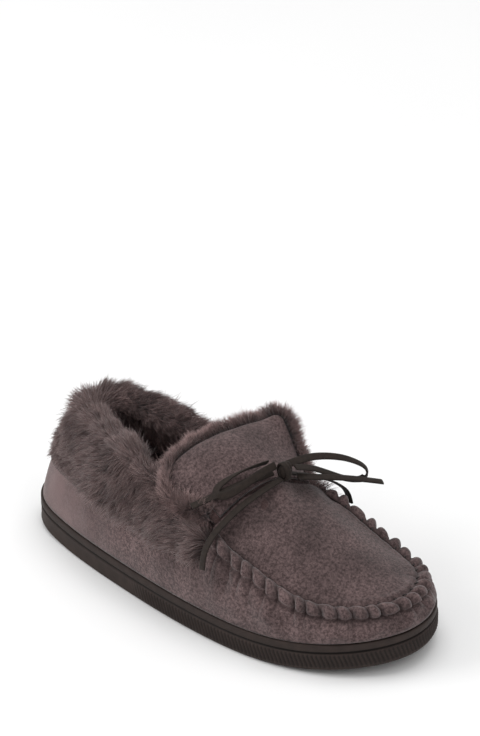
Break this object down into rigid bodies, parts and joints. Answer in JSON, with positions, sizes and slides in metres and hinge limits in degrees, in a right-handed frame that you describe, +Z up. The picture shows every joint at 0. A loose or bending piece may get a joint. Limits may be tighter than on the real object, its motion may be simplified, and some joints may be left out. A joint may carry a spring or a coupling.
{
  "type": "slipper",
  "caption": "Right-foot moccasin house slipper with a moulded rubber sole, suede upper, fur lining and turned-down cuff, tied lace bow and a tongue that lifts.",
  "frame": {"origin": "on the ground, under the middle of the slipper's box without the free lace ends", "axes": "+Y to the toe, +X to the wearer's right (the outer side of the foot), +Z up"},
  "size_m": [0.1124, 0.2671, 0.0935],
  "materials": {
    "suede": "brushed suede, short nap",
    "fur": "long soft pile",
    "sole": "moulded, matte, ribbed side",
    "lace": "flat lace, dull",
    "board": "pressed fibre",
    "foam": "soft foam",
    "thread": "waxed thread"
  },
  "bodies": {
    "shoe": {"outsole": "sole", "insole_board": "board", "footbed_foam": "foam", "sock_lining": "fur", "side_wall": "suede", "heel_counter": "board", "quarter_lining": "fur", "vamp_lining": "fur", "collar_cuff": "fur", "apron": "suede", "apron_lining": "fur", "toe_seam_roll": "suede", "seam_thread": "thread", "lace_knot": "lace", "lace_run_outer": "lace", "lace_run_inner": "lace", "lace_loop_inner": "lace", "lace_tail_inner": "lace"},
    "tongue": {"tongue": "suede", "tongue_lining": "fur", "lace_loop_outer": "lace", "lace_tail_outer": "lace"}
  },
  "joints": [
    {"name": "tongue_hinge", "type": "hinge", "parent": "shoe", "child": "tongue", "pos_m": [-0.004, 0.0301, 0.0832], "axis": [-0.9889, 0.1483, 0], "range_deg": [0, 30], "stiffness_Nm_per_rad": 0.01}
  ]
}
